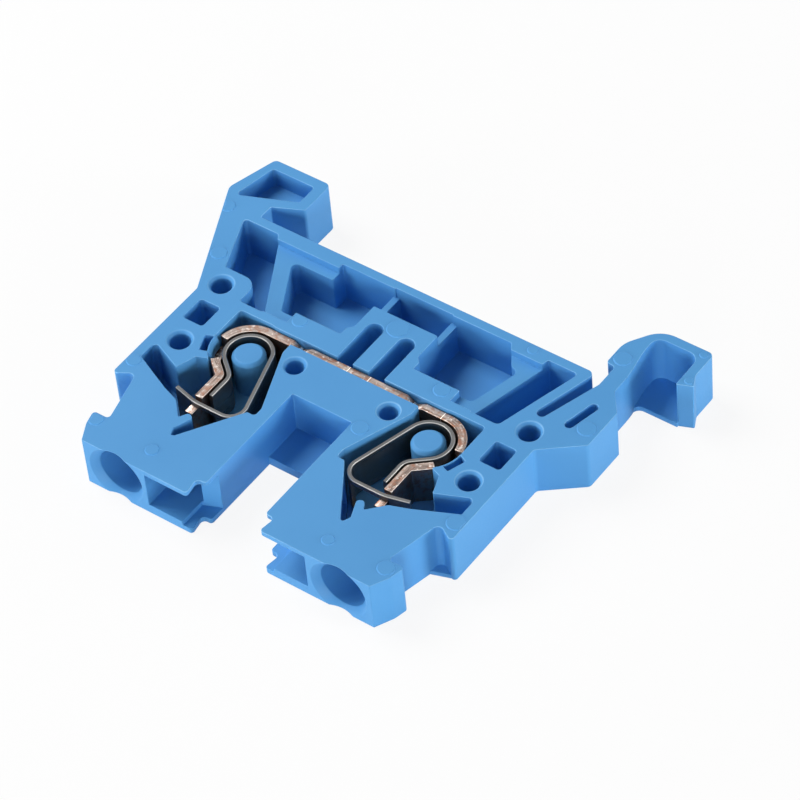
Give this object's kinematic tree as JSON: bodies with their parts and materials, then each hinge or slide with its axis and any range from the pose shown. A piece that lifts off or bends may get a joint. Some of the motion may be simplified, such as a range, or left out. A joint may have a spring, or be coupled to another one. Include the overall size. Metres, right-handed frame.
{
  "type": "feed-through terminal block",
  "caption": "Slim terminal block for a mounting rail, open on its broad side, with loop-shaped clamp springs and a bent current bar that joins the wires pushed into its heads.",
  "frame": {"origin": "middle of the mounting rail, on the plane where the housing meets the rail, at the housing's closed side", "axes": "+X across the rail from the fixed foot to the flexible foot, +Y from the wire entries to the rail, +Z along the rail from the closed side to the open side"},
  "size_m": [0.0463, 0.0351, 0.005],
  "materials": {
    "housing": "moulded blue polyamide, satin",
    "current_bar": "bare copper strip, stamped and bent",
    "spring_strip": "rolled stainless spring strip"
  },
  "bodies": {
    "block": {"housing": "housing", "current_bar": "current_bar"},
    "left_clamp": {"left_clamp_spring": "spring_strip"},
    "right_clamp": {"right_clamp_spring": "spring_strip"}
  },
  "joints": [
    {"name": "left_clamp_open", "type": "hinge", "parent": "block", "child": "left_clamp", "pos_m": [-0.0091, -0.013, 0.0025], "axis": [0, 0, -1], "range_deg": [0, 20], "stiffness_Nm_per_rad": 0.45, "springref_deg": -8.59, "deforming": ["left_clamp_spring"]},
    {"name": "right_clamp_open", "type": "hinge", "parent": "block", "child": "right_clamp", "pos_m": [0.0091, -0.013, 0.0025], "axis": [0, 0, 1], "range_deg": [0, 20], "stiffness_Nm_per_rad": 0.45, "springref_deg": -8.59, "deforming": ["right_clamp_spring"]}
  ]
}
